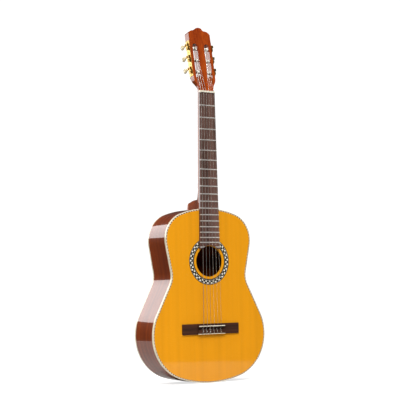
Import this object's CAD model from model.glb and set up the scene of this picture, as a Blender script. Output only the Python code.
"""Classical guitar: finishes and fine pieces around the CAD frame.

Metres, Z up, the guitar on its tail with the strings towards -Y. The CAD nodes keep their
shapes and get their finishes here. Added pieces: the rope purfling, the six buttons, the
string knots on the tie block and the windings on the rollers.
"""
import math

import bpy
from mathutils import Matrix, Vector


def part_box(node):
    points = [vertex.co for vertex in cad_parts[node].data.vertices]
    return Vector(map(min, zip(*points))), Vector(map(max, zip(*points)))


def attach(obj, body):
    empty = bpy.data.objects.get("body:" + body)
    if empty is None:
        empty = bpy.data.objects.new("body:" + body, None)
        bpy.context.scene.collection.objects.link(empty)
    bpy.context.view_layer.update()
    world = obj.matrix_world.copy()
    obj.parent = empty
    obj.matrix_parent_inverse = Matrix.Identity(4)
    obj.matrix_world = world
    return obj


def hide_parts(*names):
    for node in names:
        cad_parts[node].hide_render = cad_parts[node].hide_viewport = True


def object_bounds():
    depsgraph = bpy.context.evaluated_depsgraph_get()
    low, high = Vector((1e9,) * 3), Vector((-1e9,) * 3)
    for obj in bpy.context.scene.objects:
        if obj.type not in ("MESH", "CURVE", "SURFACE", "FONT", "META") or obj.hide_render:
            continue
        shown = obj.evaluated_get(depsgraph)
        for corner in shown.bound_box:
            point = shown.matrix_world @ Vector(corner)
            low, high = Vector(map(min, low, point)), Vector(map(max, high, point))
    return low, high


bl_info = {
    "name": "Classical guitar",
    "version": (1, 0, 0),
    "blender": (4, 5, 0),
    "location": "View3D > Sidebar > Guitar",
    "description": "Finishes and fine pieces of a classical guitar",
    "category": "Object",
}

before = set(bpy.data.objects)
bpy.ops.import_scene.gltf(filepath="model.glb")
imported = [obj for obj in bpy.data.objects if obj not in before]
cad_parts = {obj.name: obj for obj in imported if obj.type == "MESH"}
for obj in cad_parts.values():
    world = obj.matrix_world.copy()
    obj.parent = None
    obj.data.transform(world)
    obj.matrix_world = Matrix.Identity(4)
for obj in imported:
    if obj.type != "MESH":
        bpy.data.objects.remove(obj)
CAD_LOW, CAD_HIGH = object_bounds()
MM = 0.001
STRINGS = range(1, 7)
# The strings of each side, from the roller next to the nut to the one next to the crown.
BASS_STRINGS = (1, 2, 3)
TREBLE_STRINGS = (6, 5, 4)
ROOT = "guitar"
HEAD_TILT = math.radians(11)
# Rosette: tiles in one repeat of its pattern, rows of tiles, a count that its rows never
# reach, its width, and its outer border.
MOTIF = 6
TILE_ROWS = 4
NO_WRAP = 64.0
ROSETTE_WIDTH = 16 * MM
ROSETTE_BORDER = 3 * MM
PURFLING_WIDTH = 2 * MM
# Share of the body's height at which the waist is narrowest.
WAIST_SHARE = 0.61
# Bridge: length of the tie block along the strings, height of its string holes over the
# soundboard, and distance between the outer strings.
TIE_BLOCK = 12 * MM
STRING_HOLE = 4.4 * MM
SADDLE_SPREAD = 58 * MM
# The camera looks at about half the guitar's height.
MIDDLE_HEIGHT = 0.5
# How fast a wood's pattern changes along the grain, as a share of that across it.
GRAIN_SHARE = 0.035
# Rollers: from the end in the head's middle to the sleeve's two ends.
SLEEVE_START = 6 * MM
SLEEVE_END = 21 * MM
# Where the coils begin on their rollers, from the nut's side of the head to its crown.
WINDING_STARTS = (21 * MM, 18 * MM, 16 * MM)
# Distance between the turns of a coil, in string diameters.
TURN_SPACING = 1.04
BUTTON_LENGTH = 16 * MM
# Distance from the shaft's end, half thickness and half width.
BUTTON_STATIONS = [(along * MM, thick * MM, wide * MM) for along, thick, wide in (
    (0, 2.3, 2.6), (0.4, 2.8, 3.1), (1.6, 2.8, 3.1), (2.2, 2.3, 2.6), (3.8, 2.7, 4.6),
    (6.5, 3.4, 6.9), (9.5, 4.1, 7.5), (12.5, 4.3, 7.3), (14.6, 3.9, 6.1), (15.6, 3.0, 4.4),
    (16, 1.6, 2.4))]


# ---------------------------------------------------------------- colours and nodes


def linear(code):
    """Linear colour of an sRGB hex code such as #A0522D."""
    shares = [int(code[i:i + 2], 16) / 255 for i in (1, 3, 5)]
    return tuple(c / 12.92 if c <= 0.04045 else ((c + 0.055) / 1.055) ** 2.4
                 for c in shares) + (1.0,)


def shaded(colour, share):
    """A linear colour made darker, down to a share of its light."""
    return tuple(part * share for part in colour[:3]) + (1.0,)


def add_node(tree, kind, inputs=None, **settings):
    """Adds a node with its settings and links.

    An input is a number, a colour, or another node or socket to link from. The settings stops
    and steps are a colour ramp's stops and its interpolation.
    """
    node = tree.nodes.new(kind)
    for name, setting in settings.items():
        if name == "stops":
            stops = node.color_ramp.elements
            for index, (place, colour) in enumerate(setting):
                stop = stops[index] if index < len(stops) else stops.new(place)
                stop.position, stop.color = place, colour
        elif name == "steps":
            node.color_ramp.interpolation = setting
        else:
            setattr(node, name, setting)
    for name, source in (inputs or {}).items():
        if isinstance(source, bpy.types.Node):
            source = source.outputs[0]
        if isinstance(source, bpy.types.NodeSocket):
            tree.links.new(source, node.inputs[name])
        else:
            node.inputs[name].default_value = source
    return node


def new_finish(name, **values):
    """Material with one surface shader; values are set on the shader's own sockets."""
    material = bpy.data.materials.new(name)
    material.use_nodes = True
    tree = material.node_tree
    tree.nodes.clear()
    sockets = {key.replace("_", " "): value for key, value in values.items()}
    shader = add_node(tree, "ShaderNodeBsdfPrincipled", sockets)
    add_node(tree, "ShaderNodeOutputMaterial", {"Surface": shader})
    return material, tree, shader


# Clear lacquer, rubbed smooth. It gives all the gloss, so what lies under it hardly reflects.
LACQUER = {"IOR": 1.5, "Specular_IOR_Level": 0.05, "Coat_Weight": 1.0, "Coat_Roughness": 0.04,
           "Coat_IOR": 1.5}


def paint(material, *nodes):
    """Gives CAD nodes a finish."""
    for name in nodes:
        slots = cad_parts[name].data.materials
        slots.clear()
        slots.append(material)


# ---------------------------------------------------------------- values a user may change


class GuitarSizes(bpy.types.PropertyGroup):
    growth_ring: bpy.props.FloatProperty(
        name="Growth ring", description="Distance between the soundboard's grain lines",
        default=2.6 * MM, unit="LENGTH")
    rope_pitch: bpy.props.FloatProperty(
        name="Rope pitch", description="Length of one black and white pair of the purfling",
        default=8.3 * MM, unit="LENGTH")
    tile: bpy.props.FloatProperty(
        name="Rosette tile", description="Side of one square of the rosette's mosaic",
        default=2.1 * MM, unit="LENGTH")
    wrap_pitch: bpy.props.FloatProperty(
        name="Wrap pitch", description="Distance between the turns of a bass string's wrap",
        default=0.9 * MM, unit="LENGTH")
    bass_string: bpy.props.FloatProperty(
        name="Bass string", description="Diameter of the knots and windings of the basses",
        default=1.0 * MM, unit="LENGTH")
    treble_string: bpy.props.FloatProperty(
        name="Treble string", description="Diameter of the knots and windings of the trebles",
        default=0.9 * MM, unit="LENGTH")
    turns: bpy.props.IntProperty(
        name="Turns", description="Turns of string on each roller", default=4, min=1, max=5)
    floor_radius: bpy.props.FloatProperty(
        name="Floor", description="Radius of the pale floor", default=0.95, unit="LENGTH")


def colour_property(name, description, code):
    """Colour that a user may change, with its default as an sRGB hex code."""
    return bpy.props.FloatVectorProperty(name=name, description=description, subtype="COLOR",
                                         size=4, min=0, max=1, default=linear(code))


class GuitarColours(bpy.types.PropertyGroup):
    top: colour_property("Soundboard", "Wood between the grain lines", "#F7A414")
    top_line: colour_property("Soundboard lines", "Late wood of each growth ring", "#D58A12")
    ribs: colour_property("Back and ribs", "Lighter wood of the back and ribs", "#8C3A08")
    ribs_dark: colour_property("Back and ribs, dark", "Darker figure of the ribs", "#5E2204")
    neck: colour_property("Neck", "Lighter wood of the neck and head", "#A04A12")
    neck_dark: colour_property("Neck, dark", "Darker figure of the neck", "#6E2C08")
    veneer: colour_property("Head veneer", "Lighter wood of the veneer", "#B04A0C")
    veneer_dark: colour_property("Head veneer, dark", "Darker figure of the veneer", "#7A2602")
    board: colour_property("Fingerboard", "Lighter streaks of the fingerboard", "#7C5A50")
    board_dark: colour_property("Fingerboard, dark", "Dark ground of the fingerboard", "#46322C")
    inside: colour_property("Inside", "Bare spruce of the braces and linings", "#D8B07A")
    cream: colour_property("Binding", "Cream plastic of the bindings", "#F0E4C8")
    bone: colour_property("Bone", "Nut and saddle", "#F4EEDC")
    gold: colour_property("Gold", "Plating of the tuning machines", "#BC9C5C")
    pearl: colour_property("Pearl", "Light veins of the buttons", "#DCCA9A")
    pearl_dark: colour_property("Pearl, dark", "Shaded veins of the buttons", "#98804E")


# ---------------------------------------------------------------- finishes


def wood(name, light, dark, across, streak, pore, gloss):
    """Wood with dark streaks and open pores, both drawn out along the grain.

    across names the axes that lie across the grain. streak is the distance between streaks
    and pore the one between pores, in metres. gloss is how much lacquer lies on the wood:
    with any, the lacquer gives the reflections, sharp ones, and bare wood gives soft ones.
    """
    material, tree, shader = new_finish(
        name, IOR=1.5, Roughness=0.45, Specular_IOR_Level=0.05 if gloss else 0.5,
        Coat_Weight=gloss, Coat_Roughness=0.05, Coat_IOR=1.5)
    place = add_node(tree, "ShaderNodeTexCoord").outputs["Object"]
    lengths = [1 if axis in across else GRAIN_SHARE for axis in "XYZ"]
    grain = add_node(tree, "ShaderNodeMapping", {"Vector": place, "Scale": lengths})
    streaks = add_node(tree, "ShaderNodeTexNoise", {
        "Vector": grain, "Scale": 1 / streak, "Detail": 5.0, "Roughness": 0.62,
        "Distortion": 0.4})
    broad = add_node(tree, "ShaderNodeTexNoise", {
        "Vector": grain, "Scale": 0.16 / streak, "Detail": 2.0, "Distortion": 0.8})
    mixed = add_node(tree, "ShaderNodeMath", {0: streaks, 1: broad}, operation="ADD")
    colour = add_node(tree, "ShaderNodeValToRGB", {
        "Fac": add_node(tree, "ShaderNodeMath", {0: mixed, 1: 0.5}, operation="MULTIPLY")},
        stops=[(0.36, dark), (0.5, tuple((a + b) / 2 for a, b in zip(light, dark))),
               (0.64, light)])
    pores = add_node(tree, "ShaderNodeTexNoise", {
        "Vector": grain, "Scale": 1 / pore, "Detail": 3.0, "Roughness": 0.7})
    open_pore = add_node(tree, "ShaderNodeMapRange", {
        "Value": pores, "From Min": 0.58, "From Max": 0.68, "To Min": 0.0, "To Max": 0.45})
    shown = add_node(tree, "ShaderNodeMix", {
        "Factor": open_pore, "A": colour, "B": shaded(dark, 0.45)}, data_type="RGBA")
    tree.links.new(shown.outputs["Result"], shader.inputs["Base Color"])
    bump = add_node(tree, "ShaderNodeBump", {
        "Height": open_pore, "Strength": 0.12, "Distance": 0.2 * MM}, invert=True)
    tree.links.new(bump.outputs[0], shader.inputs["Normal"])
    return material


def lacquered_spruce(sizes, colours):
    """Quarter-sawn spruce under amber lacquer, both halves from one board.

    Late wood shows as fine dark lines along the strings, mirrored about the centre joint,
    with short pale rays across them. Real lines are about 1 mm apart, too fine to show, so
    they are drawn further apart.
    """
    material, tree, shader = new_finish("amber_lacquered_spruce", Roughness=0.4, **LACQUER)
    place = add_node(tree, "ShaderNodeTexCoord").outputs["Object"]
    axes = add_node(tree, "ShaderNodeSeparateXYZ", {"Vector": place})
    mirrored = add_node(tree, "ShaderNodeMath", {0: axes.outputs["X"]}, operation="ABSOLUTE")
    along = add_node(tree, "ShaderNodeMath", {0: axes.outputs["Z"], 1: 0.02},
                     operation="MULTIPLY")
    board = add_node(tree, "ShaderNodeCombineXYZ", {"X": mirrored, "Z": along})
    # At scale 1 the wave texture repeats every tau / 20 of a metre.
    rings = add_node(tree, "ShaderNodeTexWave", {
        "Vector": board, "Scale": math.tau / 20 / sizes.growth_ring, "Distortion": 1.6,
        "Detail": 3.0, "Detail Scale": 0.35, "Detail Roughness": 0.6}, bands_direction="X")
    shade = add_node(tree, "ShaderNodeTexNoise", {
        "Vector": board, "Scale": 55.0, "Detail": 3.0, "Roughness": 0.5})
    lines = add_node(tree, "ShaderNodeMapRange", {
        "Value": rings, "From Min": 0.55, "From Max": 1.0, "To Min": 0.0, "To Max": 0.42})
    spread = add_node(tree, "ShaderNodeMapRange", {
        "Value": shade, "From Min": 0.35, "From Max": 0.7, "To Min": 0.0, "To Max": 0.3})
    amount = add_node(tree, "ShaderNodeMath", {0: lines, 1: spread}, operation="ADD",
                      use_clamp=True)
    wood_colour = add_node(tree, "ShaderNodeMix", {
        "Factor": amount, "A": colours.top, "B": colours.top_line}, data_type="RGBA")
    rays_place = add_node(tree, "ShaderNodeMapping", {
        "Vector": place, "Scale": (90.0, 90.0, 420.0)})
    rays = add_node(tree, "ShaderNodeTexNoise", {
        "Vector": rays_place, "Scale": 1.0, "Detail": 1.0})
    silk = add_node(tree, "ShaderNodeMapRange", {
        "Value": rays, "From Min": 0.6, "From Max": 0.72, "To Min": 0.0, "To Max": 0.1})
    shown = add_node(tree, "ShaderNodeMix", {
        "Factor": silk, "A": wood_colour.outputs["Result"], "B": linear("#FFC35E")},
        data_type="RGBA")
    tree.links.new(shown.outputs["Result"], shader.inputs["Base Color"])
    bump = add_node(tree, "ShaderNodeBump", {
        "Height": lines, "Strength": 0.06, "Distance": 0.1 * MM}, invert=True)
    tree.links.new(bump.outputs[0], shader.inputs["Normal"])
    return material


def mosaic(sizes, centre):
    """Ring of end-grain tiles, black, white and green, between coloured lines.

    Polar distances from the soundhole's centre pick the line or the row of tiles. The inner
    and the outer rows repeat one block, half a block apart. Real tiles are 0.7 mm wide, too
    fine to show, so they are drawn three times as wide.
    """
    material, tree, shader = new_finish("end_grain_mosaic", Roughness=0.4, **LACQUER)
    place = add_node(tree, "ShaderNodeTexCoord").outputs["Object"]
    here = add_node(tree, "ShaderNodeMapping", {
        "Vector": place, "Location": (-centre.x, 0.0, -centre.z), "Scale": (1, 0, 1)})
    axes = add_node(tree, "ShaderNodeSeparateXYZ", {"Vector": here})
    radius = add_node(tree, "ShaderNodeVectorMath", {0: here}, operation="LENGTH")
    radius = radius.outputs["Value"]
    angle = add_node(tree, "ShaderNodeMath", {0: axes.outputs["Z"], 1: axes.outputs["X"]},
                     operation="ARCTAN2")
    low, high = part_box("rosette")
    outer = (high.x - low.x) / 2
    inner = outer - ROSETTE_WIDTH
    last = outer - ROSETTE_BORDER
    first = last - TILE_ROWS * sizes.tile
    columns = MOTIF * round(math.tau * (first + 2 * sizes.tile) / sizes.tile / MOTIF)

    def step(value, factor, shift, wrap):
        """Number of the tile that a distance or an angle falls in, starting again at wrap."""
        scaled = add_node(tree, "ShaderNodeMath", {0: value, 1: factor, 2: shift},
                          operation="MULTIPLY_ADD")
        whole = add_node(tree, "ShaderNodeMath", {0: scaled}, operation="FLOOR")
        return add_node(tree, "ShaderNodeMath", {0: whole, 1: wrap, 2: 0.0},
                        operation="WRAP")

    row = step(radius, 1 / sizes.tile, -first / sizes.tile, NO_WRAP)
    column = step(angle.outputs[0], columns / math.tau, 0.0, float(MOTIF))
    ring = add_node(tree, "ShaderNodeMath", {0: row, 1: TILE_ROWS / 2 - 0.5},
                    operation="GREATER_THAN")
    steps = add_node(tree, "ShaderNodeMath", {0: ring, 1: MOTIF / 2, 2: column},
                     operation="MULTIPLY_ADD")
    share = add_node(tree, "ShaderNodeMath", {
        0: add_node(tree, "ShaderNodeMath", {0: steps, 1: MOTIF}, operation="DIVIDE")},
        operation="FRACT")
    black, white = linear("#0C0A09"), linear("#F4EFE2")
    green, brown = linear("#4C5034"), linear("#4A2E18")
    tiles = add_node(tree, "ShaderNodeValToRGB", {"Fac": share}, steps="CONSTANT", stops=[
        (0.0, black), (0.49, green), (0.6, white)])
    reach = add_node(tree, "ShaderNodeMapRange", {
        "Value": radius, "From Min": inner, "From Max": outer})
    # Distances of the lines from the inner edge, in millimetres.
    lines = [(0.0, black), (0.5, green), (1.4, black), (1.9, brown), (3.0, black), (3.5, white),
             (4.0, black)]
    outer_lines = [(13.0, black), (13.4, white), (13.9, black), (14.4, brown), (15.2, black)]
    line_colour = add_node(tree, "ShaderNodeValToRGB", {"Fac": reach}, steps="CONSTANT",
                           stops=[(at * MM / ROSETTE_WIDTH, colour)
                                  for at, colour in lines + outer_lines])
    after = add_node(tree, "ShaderNodeMath", {0: radius, 1: first}, operation="GREATER_THAN")
    before = add_node(tree, "ShaderNodeMath", {0: radius, 1: last}, operation="LESS_THAN")
    inside = add_node(tree, "ShaderNodeMath", {0: after, 1: before}, operation="MULTIPLY")
    shown = add_node(tree, "ShaderNodeMix", {
        "Factor": inside, "A": line_colour, "B": tiles}, data_type="RGBA")
    tree.links.new(shown.outputs["Result"], shader.inputs["Base Color"])
    return material


def rope():
    """Slanted black and white blocks, which read as a twisted rope, in the piece's own UVs.
    A real rope line repeats every few millimetres; this one is drawn longer, to show."""
    material, tree, shader = new_finish("black_white_rope", Roughness=0.4, **LACQUER)
    place = add_node(tree, "ShaderNodeUVMap", uv_map="Along").outputs["UV"]
    axes = add_node(tree, "ShaderNodeSeparateXYZ", {"Vector": place})
    slanted = add_node(tree, "ShaderNodeMath", {
        0: axes.outputs["Y"], 1: 0.3, 2: axes.outputs["X"]}, operation="MULTIPLY_ADD")
    share = add_node(tree, "ShaderNodeMath", {0: slanted}, operation="FRACT")
    blocks = add_node(tree, "ShaderNodeValToRGB", {"Fac": share}, steps="CONSTANT", stops=[
        (0.0, linear("#080605")), (0.64, linear("#F4EEE0"))])
    tree.links.new(blocks.outputs[0], shader.inputs["Base Color"])
    return material


def cream_plastic(colours):
    """Cream celluloid binding, scraped flush and polished with the lacquer."""
    thin_coat = {**LACQUER, "Coat_Weight": 0.8, "Coat_Roughness": 0.05}
    material, tree, shader = new_finish("cream_celluloid", Roughness=0.3, **thin_coat)
    place = add_node(tree, "ShaderNodeTexCoord").outputs["Object"]
    cloud = add_node(tree, "ShaderNodeTexNoise", {
        "Vector": place, "Scale": 60.0, "Detail": 2.0})
    shown = add_node(tree, "ShaderNodeValToRGB", {"Fac": cloud}, stops=[
        (0.35, shaded(colours.cream, 0.86)), (0.65, colours.cream)])
    tree.links.new(shown.outputs[0], shader.inputs["Base Color"])
    return material


def bone(colours):
    """Bleached bone, filed and polished, with faint fibres along its length."""
    material, tree, shader = new_finish(
        "polished_bone", IOR=1.54, Roughness=0.28, Subsurface_Weight=0.08,
        Subsurface_Radius=(2 * MM, 1.2 * MM, 0.8 * MM))
    place = add_node(tree, "ShaderNodeTexCoord").outputs["Object"]
    fibres = add_node(tree, "ShaderNodeMapping", {"Vector": place, "Scale": (40, 900, 900)})
    noise = add_node(tree, "ShaderNodeTexNoise", {"Vector": fibres, "Scale": 1.0,
                                                  "Detail": 3.0})
    shown = add_node(tree, "ShaderNodeValToRGB", {"Fac": noise}, stops=[
        (0.3, linear("#DCD2B8")), (0.6, colours.bone)])
    tree.links.new(shown.outputs[0], shader.inputs["Base Color"])
    return material


def plated_brass(colours):
    """Gold-plated brass, pressed and tumbled: bright, with soft uneven wear."""
    material, tree, shader = new_finish("gold_plated_brass", Metallic=1.0)
    place = add_node(tree, "ShaderNodeTexCoord").outputs["Object"]
    wear = add_node(tree, "ShaderNodeTexNoise", {
        "Vector": place, "Scale": 320.0, "Detail": 4.0, "Roughness": 0.6})
    rough = add_node(tree, "ShaderNodeMapRange", {
        "Value": wear, "From Min": 0.3, "From Max": 0.7, "To Min": 0.16, "To Max": 0.34})
    shown = add_node(tree, "ShaderNodeValToRGB", {"Fac": wear}, stops=[
        (0.25, shaded(colours.gold, 0.7)), (0.6, colours.gold)])
    tree.links.new(rough.outputs[0], shader.inputs["Roughness"])
    tree.links.new(shown.outputs[0], shader.inputs["Base Color"])
    return material


def nickel_silver():
    """Nickel silver fret wire, levelled along the board and polished."""
    material, tree, shader = new_finish("polished_nickel_silver", Metallic=1.0)
    place = add_node(tree, "ShaderNodeTexCoord").outputs["Object"]
    strokes = add_node(tree, "ShaderNodeMapping", {"Vector": place, "Scale": (60, 60, 4000)})
    lines = add_node(tree, "ShaderNodeTexNoise", {"Vector": strokes, "Scale": 1.0,
                                                  "Detail": 2.0})
    rough = add_node(tree, "ShaderNodeMapRange", {
        "Value": lines, "From Min": 0.3, "From Max": 0.7, "To Min": 0.4, "To Max": 0.5})
    shown = add_node(tree, "ShaderNodeValToRGB", {"Fac": lines}, stops=[
        (0.3, linear("#EAE8E2")), (0.7, linear("#FBFAF6"))])
    tree.links.new(rough.outputs[0], shader.inputs["Roughness"])
    tree.links.new(shown.outputs[0], shader.inputs["Base Color"])
    return material


def pearl_celluloid(colours):
    """Pearl celluloid, cast in swirls and turned: pale veins with a silky sheen."""
    material, tree, shader = new_finish(
        "pearl_celluloid", IOR=1.5, Roughness=0.22,
        Coat_Weight=0.6, Coat_Roughness=0.05, Sheen_Weight=0.15)
    place = add_node(tree, "ShaderNodeTexCoord").outputs["Object"]
    swirl = add_node(tree, "ShaderNodeTexNoise", {
        "Vector": place, "Scale": 190.0, "Detail": 4.0, "Roughness": 0.6,
        "Distortion": 2.2})
    shown = add_node(tree, "ShaderNodeValToRGB", {"Fac": swirl}, stops=[
        (0.32, colours.pearl_dark), (0.5, colours.pearl), (0.7, linear("#F6ECCE"))])
    tree.links.new(shown.outputs[0], shader.inputs["Base Color"])
    return material


def roller_plastic():
    """White moulded plastic sleeve on a steel spindle: the sleeve lies between the sides
    of its slot, and the spindle shows beyond it."""
    inner_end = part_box("roller_4")[0].x
    material, tree, shader = new_finish("moulded_white_plastic", IOR=1.5)
    place = add_node(tree, "ShaderNodeTexCoord").outputs["Object"]
    axes = add_node(tree, "ShaderNodeSeparateXYZ", {"Vector": place})
    out = add_node(tree, "ShaderNodeMath", {0: axes.outputs["X"]}, operation="ABSOLUTE")
    after = add_node(tree, "ShaderNodeMath", {0: out, 1: inner_end + SLEEVE_START - 0.1 * MM},
                     operation="GREATER_THAN")
    before = add_node(tree, "ShaderNodeMath", {0: out, 1: inner_end + SLEEVE_END},
                      operation="LESS_THAN")
    sleeve = add_node(tree, "ShaderNodeMath", {0: after, 1: before}, operation="MULTIPLY")
    grime = add_node(tree, "ShaderNodeTexNoise", {
        "Vector": place, "Scale": 250.0, "Detail": 3.0})
    plastic = add_node(tree, "ShaderNodeValToRGB", {"Fac": grime}, stops=[
        (0.3, linear("#DAD5C8")), (0.6, linear("#F5F2EA"))])
    shown = add_node(tree, "ShaderNodeMix", {
        "Factor": sleeve, "A": linear("#B8B4AC"), "B": plastic}, data_type="RGBA")
    metal = add_node(tree, "ShaderNodeMath", {0: 1.0, 1: sleeve}, operation="SUBTRACT")
    rough = add_node(tree, "ShaderNodeMapRange", {
        "Value": grime, "From Min": 0.3, "From Max": 0.7, "To Min": 0.22, "To Max": 0.36})
    tree.links.new(shown.outputs["Result"], shader.inputs["Base Color"])
    tree.links.new(metal.outputs[0], shader.inputs["Metallic"])
    tree.links.new(rough.outputs[0], shader.inputs["Roughness"])
    return material


def wound_wire(sizes):
    """Silver-plated copper wrap on a nylon core. The real wrap is 0.2 mm wide, too fine to
    show, so its turns are drawn wider, along the string."""
    material, tree, shader = new_finish("silver_plated_wrap", Metallic=0.85, Roughness=0.34)
    place = add_node(tree, "ShaderNodeTexCoord").outputs["Object"]
    turns = add_node(tree, "ShaderNodeTexWave", {
        "Vector": place, "Scale": math.tau / 20 / sizes.wrap_pitch}, bands_direction="Z")
    shown = add_node(tree, "ShaderNodeValToRGB", {"Fac": turns}, stops=[
        (0.1, linear("#8D8880")), (0.7, linear("#DCD8D0"))])
    bump = add_node(tree, "ShaderNodeBump", {
        "Height": turns, "Strength": 0.4, "Distance": 0.1 * MM})
    tree.links.new(shown.outputs[0], shader.inputs["Base Color"])
    tree.links.new(bump.outputs[0], shader.inputs["Normal"])
    return material


def clear_nylon():
    """Drawn clear nylon: smooth and half transparent, so it takes the colour behind it."""
    material, tree, shader = new_finish("clear_nylon", IOR=1.53, Roughness=0.18,
                                        Transmission_Weight=0.8)
    place = add_node(tree, "ShaderNodeTexCoord").outputs["Object"]
    cloud = add_node(tree, "ShaderNodeTexNoise", {"Vector": place, "Scale": 90.0})
    shown = add_node(tree, "ShaderNodeValToRGB", {"Fac": cloud}, stops=[
        (0.3, linear("#E9E2D4")), (0.7, linear("#F7F3EA"))])
    tree.links.new(shown.outputs[0], shader.inputs["Base Color"])
    return material


# ---------------------------------------------------------------- shaping


def deselect():
    """Leaves edit mode and deselects everything."""
    if bpy.context.object and bpy.context.object.mode != "OBJECT":
        bpy.ops.object.mode_set(mode="OBJECT")
    bpy.ops.object.select_all(action="DESELECT")


def make_active(piece):
    """Makes a piece the only one that an operator acts on."""
    deselect()
    piece.select_set(True)
    bpy.context.view_layer.objects.active = piece


def started(name):
    """Names the primitive that was just added."""
    piece = bpy.context.object
    piece.name = piece.data.name = name
    return piece


def apply_all(piece):
    """Applies the piece's modifiers in order."""
    make_active(piece)
    for modifier in [m.name for m in piece.modifiers]:
        bpy.ops.object.modifier_apply(modifier=modifier)


def put(piece, matrix):
    """Moves a piece to its place and leaves its object at the origin."""
    make_active(piece)
    piece.matrix_world = matrix @ piece.matrix_world
    bpy.ops.object.transform_apply(location=True, rotation=True, scale=True)


def copied(piece, name):
    """Copy of a piece with its own mesh."""
    copy = piece.copy()
    copy.data = piece.data.copy()
    copy.name = copy.data.name = name
    bpy.context.scene.collection.objects.link(copy)
    return copy


def finished(piece, material, body=ROOT, stands_for=()):
    """Gives a piece its finish and its body, and hides the CAD nodes it stands for."""
    make_active(piece)
    bpy.ops.object.shade_smooth_by_angle(angle=math.radians(40))
    piece.data.materials.clear()
    piece.data.materials.append(material)
    if stands_for:
        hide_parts(*stands_for)
    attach(piece, body)


def centre_of(node):
    """Middle of a CAD node's box."""
    low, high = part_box(node)
    return (low + high) / 2


# ---------------------------------------------------------------- operators


class GUITAR_OT_soundboard(bpy.types.Operator):
    """Lacquers the soundboard and lays the rosette's mosaic"""
    bl_idname = "guitar.soundboard"
    bl_label = "Soundboard and rosette"

    def execute(self, context):
        sizes, colours = context.scene.guitar_sizes, context.scene.guitar_colours
        paint(lacquered_spruce(sizes, colours), "soundboard")
        paint(mosaic(sizes, centre_of("rosette")), "rosette")
        return {"FINISHED"}


class GUITAR_OT_body(bpy.types.Operator):
    """Finishes the ribs, back, blocks, linings and braces"""
    bl_idname = "guitar.body"
    bl_label = "Back, ribs and inside"

    def execute(self, context):
        colours = context.scene.guitar_colours
        # The ribs' grain runs round the body, so only the depth crosses it.
        ribs = wood("lacquered_mahogany_ribs", colours.ribs, colours.ribs_dark, "Y",
                    5 * MM, 0.9 * MM, 1.0)
        paint(ribs, "rib_bass", "rib_treble")
        back = wood("lacquered_mahogany_back", colours.ribs, colours.ribs_dark, "XY",
                    8 * MM, 0.9 * MM, 1.0)
        paint(back, "back_plate")
        spruce = wood("bare_spruce", colours.inside, linear("#B98C55"), "XY", 2.5 * MM,
                      1.2 * MM, 0.0)
        paint(spruce, "top_braces", "back_braces", "back_seam_strip", "front_lining",
              "back_lining")
        blocks = wood("bare_mahogany", linear("#9A5B35"), linear("#7A4122"), "XY", 4 * MM,
                      1 * MM, 0.0)
        paint(blocks, "neck_block", "tail_block")
        return {"FINISHED"}


class GUITAR_OT_edges(bpy.types.Operator):
    """Finishes the bindings and makes the rope purfling round the soundboard"""
    bl_idname = "guitar.edges"
    bl_label = "Bindings and purfling"

    def execute(self, context):
        sizes, colours = context.scene.guitar_sizes, context.scene.guitar_colours
        paint(cream_plastic(colours), "front_binding", "back_binding", "tail_graft",
              "tie_block_inlay")
        # A piece of its own, so the copy drops the CAD node's parent and marks.
        purfling = copied(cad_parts["front_purfling"], "rope_purfling")
        purfling.parent = None
        for key in list(purfling.keys()):
            del purfling[key]
        make_active(purfling)
        bpy.ops.object.mode_set(mode="EDIT")
        bpy.ops.mesh.select_all(action="SELECT")
        bpy.ops.mesh.remove_doubles(threshold=0.01 * MM)
        bpy.ops.object.mode_set(mode="OBJECT")
        measure_ring(purfling, sizes.rope_pitch)
        finished(purfling, rope(), stands_for=["front_purfling"])
        return {"FINISHED"}


def measure_ring(piece, pitch):
    """UV map Along: rope pairs along the ring's outer edge, and 0 to 1 from there inwards.

    Seen from the waist's centre, every ray meets the outline once, so the side walls that
    face away from there are the outer ones, and the angle orders their corners.
    """
    mesh = piece.data
    low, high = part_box("front_purfling")
    middle = Vector((0, 0, low.z + WAIST_SHARE * (high.z - low.z)))
    outer = {}
    for face in mesh.polygons:
        away = Vector((face.center.x, 0, face.center.z)) - middle
        if abs(face.normal.y) < 0.5 and face.normal.dot(away) > 0:
            for index in face.vertices:
                spot = mesh.vertices[index].co
                outer[(round(spot.x, 6), round(spot.z, 6))] = Vector((spot.x, 0, spot.z))
    ring = sorted(outer.values(), key=lambda p: math.atan2(p.z - middle.z, p.x - middle.x))
    ring.append(ring[0])
    places = [0.0]
    for start, end in zip(ring, ring[1:]):
        places.append(places[-1] + (end - start).length)
    pairs = round(places[-1] / pitch)

    def along(spot):
        """Share of the ring's length, and distance from it, at the nearest point."""
        best = (math.inf, 0.0)
        for start, end, place in zip(ring, ring[1:], places):
            run = end - start
            share = min(max((spot - start).dot(run) / run.length_squared, 0), 1)
            distance = (start + run * share - spot).length
            if distance < best[0]:
                best = (distance, place + share * run.length)
        return best[1] / places[-1], best[0] / PURFLING_WIDTH

    spots = [along(Vector((v.co.x, 0, v.co.z))) for v in mesh.vertices]
    layer = mesh.uv_layers.new(name="Along")
    for face in mesh.polygons:
        shares = [spots[mesh.loops[i].vertex_index][0] for i in face.loop_indices]
        wraps = max(shares) - min(shares) > 0.5
        for loop, share in zip(face.loop_indices, shares):
            turn = 1.0 if wraps and share < 0.5 else 0.0
            inward = spots[mesh.loops[loop].vertex_index][1]
            layer.data[loop].uv = ((share + turn) * pairs, inward)


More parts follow.
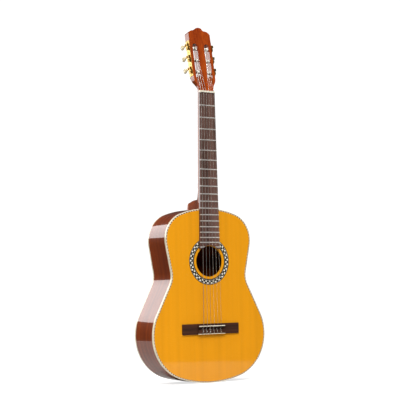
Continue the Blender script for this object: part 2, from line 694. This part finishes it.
class GUITAR_OT_neck(bpy.types.Operator):
    """Finishes the neck, head, fingerboard, frets and nut"""
    bl_idname = "guitar.neck"
    bl_label = "Neck and head"

    def execute(self, context):
        colours = context.scene.guitar_colours
        neck = wood("lacquered_mahogany_neck", colours.neck, colours.neck_dark, "XY",
                    6 * MM, 0.9 * MM, 1.0)
        paint(neck, "neck", "headstock", "heel_cap")
        veneer = wood("lacquered_rosewood_veneer", colours.veneer, colours.veneer_dark, "XY",
                      5 * MM, 0.8 * MM, 1.0)
        paint(veneer, "headstock_veneer")
        board = wood("sealed_rosewood_board", colours.board, colours.board_dark, "XY",
                     4 * MM, 0.7 * MM, 0.9)
        paint(board, "fingerboard")
        paint(nickel_silver(), "frets")
        paint(bone(colours), "nut", "saddle")
        return {"FINISHED"}


class GUITAR_OT_bridge(bpy.types.Operator):
    """Finishes the bridge and ties the six knots on it"""
    bl_idname = "guitar.bridge"
    bl_label = "Bridge and knots"

    def execute(self, context):
        sizes = context.scene.guitar_sizes
        bridge = wood("oiled_rosewood_bridge", linear("#563628"), linear("#30201A"), "YZ",
                      4 * MM, 0.7 * MM, 0.2)
        paint(bridge, "bridge")
        for strings, finish, slot, diameter, lean in (
                (BASS_STRINGS, "silver_plated_wrap", "wound_string", sizes.bass_string, -1),
                (TREBLE_STRINGS, "clear_nylon", "nylon", sizes.treble_string, 1)):
            pattern = self.tie(diameter / 2, lean)
            for number in strings:
                knot = copied(pattern, f"string_knot_{number}")
                from_first = (number - 1) / (len(STRINGS) - 1)
                put(knot, Matrix.Translation(((from_first - 0.5) * SADDLE_SPREAD, 0, 0)))
                finished(knot, bpy.data.materials[finish])
            bpy.data.objects.remove(pattern)
        return {"FINISHED"}

    def tie(self, radius, lean):
        """String end that comes up behind the tie block, crosses it, passes under the string
        in front of it and tucks back under itself. lean is the side that the loop leans to."""
        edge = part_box("tie_block_inlay")[0]
        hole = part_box("soundboard")[0].y - STRING_HOLE
        top, back, front = edge.y - radius, edge.z, edge.z + TIE_BLOCK
        # Each point: millimetres to the side, then y and z in metres.
        points = [
            (0.0, hole, back + 0.2 * MM),
            (0.0, hole, back - radius * 2),
            (0.0, top, back - radius * 1.6),
            (0.3 * lean, top, back + 3 * MM),
            (1.3 * lean, top, front - 3 * MM),
            (1.8 * lean, top, front + 1.2 * MM),
            (1.3 * lean, hole + radius * 2, front + 2.2 * MM),
            (-1.0 * lean, hole + radius * 2, front + 2.4 * MM),
            (-1.8 * lean, top, front + 1.2 * MM),
            (-1.0 * lean, top - radius * 1.4, front - 4 * MM),
            (0.9 * lean, top - radius * 2.4, back + 5 * MM),
            (1.9 * lean, top - radius, back + 3.4 * MM),
            (2.4 * lean, top - radius * 0.4, back + 1.6 * MM),
        ]
        deselect()
        bpy.ops.curve.primitive_nurbs_path_add()
        path = started("knot_pattern")
        curve = path.data
        curve.splines.clear()
        spline = curve.splines.new("NURBS")
        spline.points.add(len(points) - 1)
        for point, (across, y, z) in zip(spline.points, points):
            point.co = (across * MM, y, z, 1)
        spline.order_u, spline.use_endpoint_u = 4, True
        curve.bevel_depth, curve.bevel_resolution, curve.use_fill_caps = radius, 3, True
        curve.resolution_u = 6
        make_active(path)
        bpy.ops.object.convert(target="MESH")
        return bpy.context.object


class GUITAR_OT_strings(bpy.types.Operator):
    """Finishes the strings and winds their ends on the rollers"""
    bl_idname = "guitar.strings"
    bl_label = "Strings and windings"

    def execute(self, context):
        sizes = context.scene.guitar_sizes
        wrap, nylon = wound_wire(sizes), clear_nylon()
        paint(wrap, *[f"string_{n}" for n in BASS_STRINGS])
        paint(nylon, *[f"string_{n}" for n in TREBLE_STRINGS])
        turned = Matrix.Rotation(-HEAD_TILT, 4, "X")
        for strings, finish, slot, diameter, side in (
                (BASS_STRINGS, wrap, "wound_string", sizes.bass_string, -1),
                (TREBLE_STRINGS, nylon, "nylon", sizes.treble_string, 1)):
            pattern = self.wind(diameter, sizes.turns, side)
            for number, start in zip(strings, WINDING_STARTS):
                coil = copied(pattern, f"string_winding_{number}")
                axis = centre_of(f"roller_{number}")
                put(coil, Matrix.Translation((side * start, axis.y, axis.z)) @ turned)
                finished(coil, finish, body=f"roller_{number}")
            bpy.data.objects.remove(pattern)
        return {"FINISHED"}

    def wind(self, diameter, turns, side):
        """Coil round the X axis, as wide as a roller, from the string's end outwards."""
        low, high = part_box("roller_1")
        radius = (high.y - low.y + diameter) / 2
        deselect()
        bpy.ops.mesh.primitive_circle_add(vertices=10, radius=diameter / 2,
                                          rotation=(0, math.pi / 2, math.pi / 2))
        coil = started("winding_pattern")
        bpy.ops.object.transform_apply(rotation=True)
        coil.location = (0, -radius, 0)
        bpy.ops.object.transform_apply(location=True)
        screw = coil.modifiers.new("Turns", "SCREW")
        screw.axis = "X"
        screw.angle = -math.tau
        screw.screw_offset = side * diameter * TURN_SPACING
        screw.iterations = turns
        screw.steps = screw.render_steps = 28
        screw.use_merge_vertices = False
        apply_all(coil)
        bpy.ops.object.mode_set(mode="EDIT")
        bpy.ops.mesh.select_all(action="DESELECT")
        bpy.ops.mesh.select_non_manifold()
        bpy.ops.mesh.edge_face_add()
        bpy.ops.mesh.select_all(action="SELECT")
        bpy.ops.mesh.normals_make_consistent(inside=False)
        bpy.ops.object.mode_set(mode="OBJECT")
        return coil


class GUITAR_OT_tuners(bpy.types.Operator):
    """Finishes the tuning machines and models their six buttons"""
    bl_idname = "guitar.tuners"
    bl_label = "Tuning machines"

    def execute(self, context):
        colours = context.scene.guitar_colours
        gold = plated_brass(colours)
        paint(gold, "tuner_plate_bass", "tuner_plate_treble", "tuner_plate_screws",
              *[f"{part}_{n}" for part in ("worm", "gear") for n in STRINGS])
        paint(roller_plastic(), *[f"roller_{n}" for n in STRINGS])
        pearl = pearl_celluloid(colours)
        pattern = self.button()
        for number in STRINGS:
            button = copied(pattern, f"pearl_button_{number}")
            middle = centre_of(f"button_{number}")
            put(button, Matrix.Translation(middle) @ Matrix.Rotation(-HEAD_TILT, 4, "X"))
            finished(button, pearl, body=f"shaft_{number}",
                     stands_for=[f"button_{number}"])
        bpy.data.objects.remove(pattern)
        return {"FINISHED"}

    def button(self):
        """Flat oval button along Y, drawn out of a disc at its shaft end, station by station:
        a collar, a waist, the broad paddle and its rounded end."""
        deselect()
        place = BUTTON_STATIONS[0][0] - BUTTON_LENGTH / 2
        bpy.ops.mesh.primitive_circle_add(vertices=24, radius=1, fill_type="NGON",
                                          location=(0, place, 0), rotation=(math.pi / 2, 0, 0))
        piece = started("button_pattern")
        bpy.ops.object.transform_apply(location=True, rotation=True)
        bpy.ops.object.mode_set(mode="EDIT")
        bpy.ops.mesh.select_all(action="SELECT")
        # Each station is scaled from the one before, and the first from the disc of radius 1.
        thick, wide = 1, 1
        for along, half_thick, half_wide in BUTTON_STATIONS:
            step = along - BUTTON_LENGTH / 2 - place
            if step:
                bpy.ops.mesh.extrude_region_move(TRANSFORM_OT_translate={"value": (0, step, 0)})
            place += step
            bpy.ops.transform.resize(value=(half_thick / thick, 1, half_wide / wide),
                                     center_override=(0, place, 0))
            thick, wide = half_thick, half_wide
        bpy.ops.mesh.select_all(action="SELECT")
        bpy.ops.mesh.normals_make_consistent(inside=False)
        bpy.ops.object.mode_set(mode="OBJECT")
        smooth = piece.modifiers.new("Round", "SUBSURF")
        smooth.levels = smooth.render_levels = 1
        apply_all(piece)
        return piece


class GUITAR_OT_stage(bpy.types.Operator):
    """Sets the pale floor, the soft lights and the camera"""
    bl_idname = "guitar.stage"
    bl_label = "Stage"

    def execute(self, context):
        scene = context.scene
        scene.view_settings.view_transform = "Standard"
        deselect()
        bpy.ops.mesh.primitive_circle_add(vertices=96, radius=scene.guitar_sizes.floor_radius,
                                          fill_type="NGON", location=(0, 0, CAD_LOW.z))
        floor = started("pale_floor")
        floor.data.materials.append(self.backlit_acrylic())
        self.light_room(scene)
        # A wide panel above, the soft box in front, and a panel behind that the ribs mirror.
        self.light("overhead", (0, 0.2, 3.6), (0, 0.2, 0), 6, 6, 1.5)
        self.light("key", (-1.3, -2.3, 2.6), (0, 0, 0.75), 1.8, 1.8, 11.0)
        self.light("rim", (-0.85, 1.05, 0.9), (-0.1, 0, 0.4), 1.0, 0.72, 4.6)
        self.camera(scene)
        return {"FINISHED"}

    def backlit_acrylic(self):
        """White acrylic lit from below: its glow shows to the eye, and is left out of the
        reflections so that the lacquer stays dark near the floor."""
        material, tree, shader = new_finish("backlit_white_acrylic", Roughness=0.9)
        shader.inputs["Base Color"].default_value = linear("#C8C8C6")
        shader.inputs["Emission Color"].default_value = (1, 1, 1, 1)
        seen = add_node(tree, "ShaderNodeLightPath").outputs["Is Camera Ray"]
        glow = add_node(tree, "ShaderNodeMath", {0: seen, 1: 0.72}, operation="MULTIPLY")
        tree.links.new(glow.outputs[0], shader.inputs["Emission Strength"])
        return material

    def light_room(self, scene):
        """Dim walls for the reflections, and a white one behind everything that is seen."""
        world = bpy.data.worlds.new("room")
        scene.world = world
        world.use_nodes = True
        tree = world.node_tree
        tree.nodes.clear()
        dim = add_node(tree, "ShaderNodeBackground", {"Color": (1, 1, 1, 1), "Strength": 0.06})
        white = add_node(tree, "ShaderNodeBackground", {"Color": (1, 1, 1, 1), "Strength": 1.1})
        seen = add_node(tree, "ShaderNodeLightPath").outputs["Is Camera Ray"]
        shown = add_node(tree, "ShaderNodeMixShader", {0: seen, 1: dim, 2: white})
        add_node(tree, "ShaderNodeOutputWorld", {"Surface": shown})

    def light(self, name, place, target, width, height, brightness):
        """Soft panel that faces target; brightness is its radiance against white."""
        deselect()
        bpy.ops.object.light_add(type="AREA", location=place)
        lamp = bpy.context.object
        lamp.name = name
        lamp.data.shape = "RECTANGLE"
        lamp.data.size, lamp.data.size_y = width, height
        lamp.data.energy = brightness * math.pi * width * height
        facing = Vector(target) - Vector(place)
        lamp.rotation_euler = facing.to_track_quat("-Z", "Y").to_euler()
        lamp.visible_camera = False

    def camera(self, scene):
        """Camera a little below the middle of the guitar, in front of it and to its bass
        side, turned by a degree."""
        azimuth, elevation = math.radians(-32.55), math.radians(-3.84)
        distance, roll = 3.4655, math.radians(-1.03)
        side, rise = 1.34 * MM, 9.26 * MM
        field = math.radians(18.5)
        back = Vector((math.sin(azimuth) * math.cos(elevation),
                       -math.cos(azimuth) * math.cos(elevation), math.sin(elevation)))
        right = Vector((math.cos(azimuth), math.sin(azimuth), 0))
        target = Vector((0, 0, MIDDLE_HEIGHT + rise)) + right * side
        deselect()
        bpy.ops.object.camera_add(location=target + back * distance)
        camera = bpy.context.object
        camera.name = "view"
        camera.rotation_mode = "QUATERNION"
        level = back.to_track_quat("Z", "Y")
        camera.rotation_quaternion = level @ Matrix.Rotation(roll, 3, "Z").to_quaternion()
        camera.data.angle = field
        camera.data.clip_start, camera.data.clip_end = 0.1, 100
        scene.camera = camera


STEPS = ("soundboard", "body", "edges", "strings", "bridge", "neck", "tuners", "stage")


class GUITAR_PT_panel(bpy.types.Panel):
    """Lists the guitar's steps with the sizes and colours they use"""
    bl_idname = "GUITAR_PT_panel"
    bl_label = "Classical guitar"
    bl_space_type = "VIEW_3D"
    bl_region_type = "UI"
    bl_category = "Guitar"

    def draw(self, context):
        for group in (context.scene.guitar_sizes, context.scene.guitar_colours):
            box = self.layout.box()
            for name in group.__annotations__:
                box.prop(group, name)
        for step in STEPS:
            self.layout.operator(f"guitar.{step}")


CLASSES = (GuitarSizes, GuitarColours, GUITAR_OT_soundboard, GUITAR_OT_body, GUITAR_OT_edges,
           GUITAR_OT_strings, GUITAR_OT_bridge, GUITAR_OT_neck, GUITAR_OT_tuners,
           GUITAR_OT_stage, GUITAR_PT_panel)


def register():
    for item in CLASSES:
        bpy.utils.register_class(item)
    bpy.types.Scene.guitar_sizes = bpy.props.PointerProperty(type=GuitarSizes)
    bpy.types.Scene.guitar_colours = bpy.props.PointerProperty(type=GuitarColours)


def unregister():
    del bpy.types.Scene.guitar_colours
    del bpy.types.Scene.guitar_sizes
    for item in reversed(CLASSES):
        bpy.utils.unregister_class(item)


def main():
    register()
    for step in STEPS:
        getattr(bpy.ops.guitar, step)()


if __name__ == "__main__":
    main()
